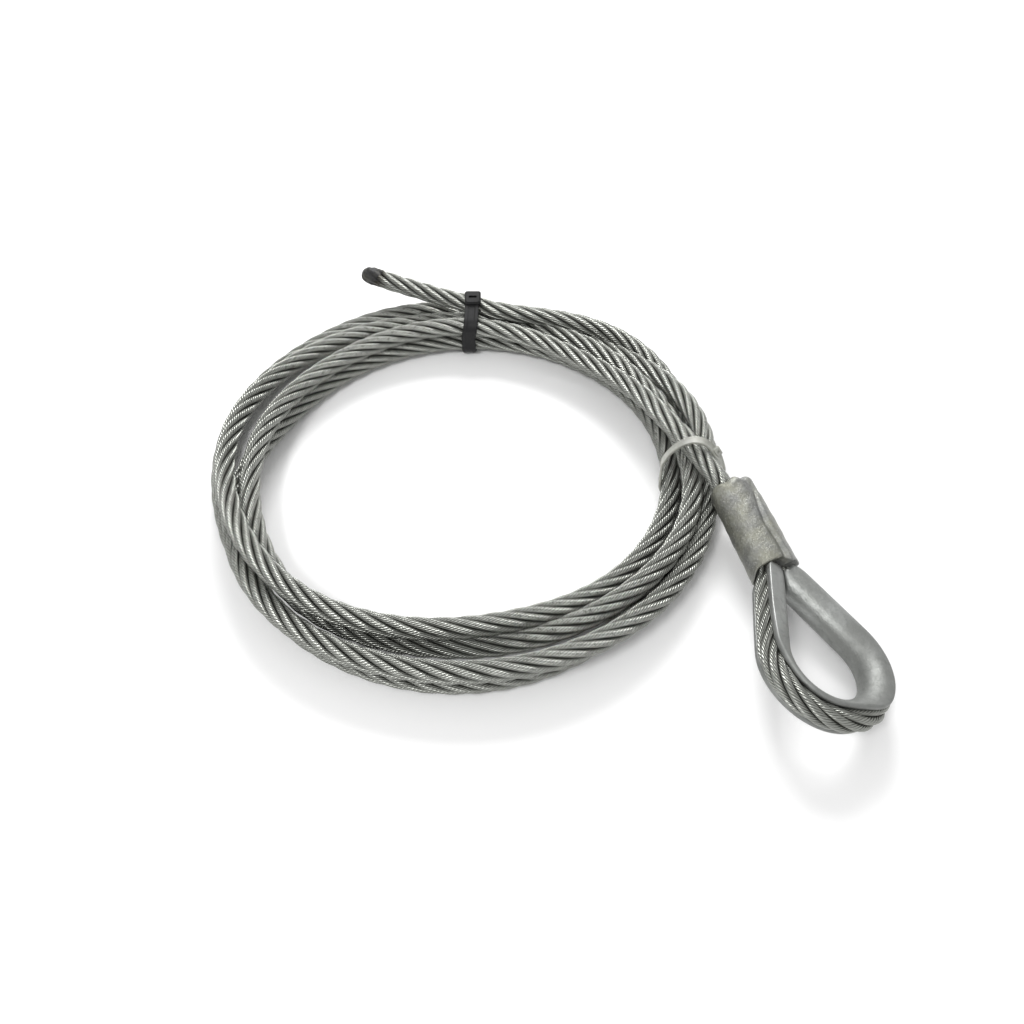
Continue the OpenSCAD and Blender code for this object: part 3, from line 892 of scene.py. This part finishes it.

# The white tie hangs loosely round the passes and the lead, and its top leans back. Eleven of its
# points, on the sides and the top, come from a script that worked them out from places in the
# photograph. Five of those were then moved, and the other eight points are given.
WHITE_AT, WHITE_W, WHITE_T, WHITE_LEAN = 70.5, 4.0, 1.2, 14
out, along = directions(WHITE_AT)
WHITE_LINE = [(98.2, 2.6), (97.0, 6), (97.0, 10.6), (96.4, 18.2), (98.4, 23.7), (101.5, 28.2),
              (105.2, 31.3), (109.3, 32.9), (113.8, 32.4), (118.2, 29.6), (122.6, 23.8),
              (125.8, 16.3), (126.4, 11), (125.2, 6.5), (122.5, 3.2), (118.8, 1.4), (114, 0.75),
              (107, 0.7), (102, 0.8)]
around = blur(closed_even(np.array(WHITE_LINE, float), 140), 5)
around[:, 1] = np.maximum(around[:, 1], WHITE_T / 2 + 0.05)
back = around[:, 1] * math.tan(math.radians(WHITE_LEAN))
line = MIDDLE + np.outer(around[:, 0], out) + np.outer(around[:, 1], UP) + np.outer(back, along)
lean = np.radians(-4) * np.clip((around[:, 1] - 3) / 12, 0, 1)
across = np.outer(np.cos(lean), along) - np.outer(np.sin(lean), UP)
twist = np.radians(48) * np.clip((around[:, 0] - 112) / 8, 0, 1) * np.clip((around[:, 1] - 3) / 6, 0, 1)
across = across * np.cos(twist)[:, None] + np.outer(np.sin(twist), out)
white = nylon("clear_nylon", (0.33, 0.335, 0.295), 0.5, 0.2)
white_tie = strap_mesh("white_strap", line[::-1], across[::-1],
                       strap_section(WHITE_W, WHITE_T, 0.3, 0.12), white)
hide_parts("white_tie")
i = int(np.argmin(np.abs(around[:, 1] - 26.5) + 100 * (around[:, 0] < 110)))
t2 = line[(i + 1) % len(line)] - line[i - 1]
t2 /= np.linalg.norm(t2)
n2 = np.cross(across[i], t2)
n2 *= np.sign(n2 @ out)
white_head = block_mesh("white_head", line[i] - n2 * 0.1 + across[i] * 0.9, (across[i], t2, n2),
                        (4.3, 5.6, 2.3), 0.7, white, (0.3, 0.24), 0.8)
for piece in (white_tie, white_head):
    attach(piece, "root")

# ---------------------------------------------------------------- floor and light

bpy.context.scene.view_settings.view_transform = "Standard"
FLOOR_HALF = 1e3
FLOOR_MIDDLE = (-0.08, -0.1, 0)
FADE_FROM, FADE_TO = 0.45, 0.85
n = Nodes("floor")
far = n.add("ShaderNodeVectorMath", operation="DISTANCE")
n.put(far.inputs[0], n.add("ShaderNodeTexCoord").outputs["Object"])
n.put(far.inputs[1], FLOOR_MIDDLE)
shown = n.band(far.outputs["Value"], FADE_TO, FADE_FROM)
floor = mesh_object(
    "floor",
    [(x * FLOOR_HALF, y * FLOOR_HALF, 0) for x, y in ((-1, -1), (1, -1), (1, 1), (-1, 1))],
    [(0, 1, 2, 3)],
    None,
    n.finish(Base_Color=(0.96, 0.96, 0.96, 1), Roughness=0.9, Alpha=shown),
)

world = bpy.data.worlds.new("world")
bpy.context.scene.world = world
world.use_nodes = True
tree = world.node_tree
background = tree.nodes["Background"]
background.inputs["Color"].default_value = (1, 1, 1, 1)
paths = tree.nodes.new("ShaderNodeLightPath")


def world_math(operation, a, b):
    node = tree.nodes.new("ShaderNodeMath")
    node.operation = operation
    for socket, value in zip(node.inputs, (a, b)):
        if isinstance(value, bpy.types.NodeSocket):
            tree.links.new(value, socket)
        else:
            socket.default_value = value
    return node.outputs[0]


# white where the camera sees it, and dimmer as a light
seen = world_math("MAXIMUM", paths.outputs["Is Camera Ray"], paths.outputs["Is Transmission Ray"])
DIM = 0.66
strength = world_math("ADD", world_math("MULTIPLY", seen, 1 - DIM), DIM)
tree.links.new(strength, background.inputs["Strength"])


def lamp(name, at, towards, size, power):
    data = bpy.data.lights.new(name, "AREA")
    data.shape = "RECTANGLE"
    data.size, data.size_y = size
    data.energy = power
    obj = bpy.data.objects.new(name, data)
    bpy.context.scene.collection.objects.link(obj)
    obj.location = Vector(at)
    obj.rotation_mode = "QUATERNION"
    obj.rotation_quaternion = (Vector(towards) - Vector(at)).to_track_quat("-Z", "Y")
    return obj


lamp("key", (-0.92, 0.12, 0.7), FLOOR_MIDDLE, (0.5, 0.35), 10)
lamp("fill", (0.25, -0.62, 1.02), (-0.05, -0.05, 0), (0.3, 0.3), 5)
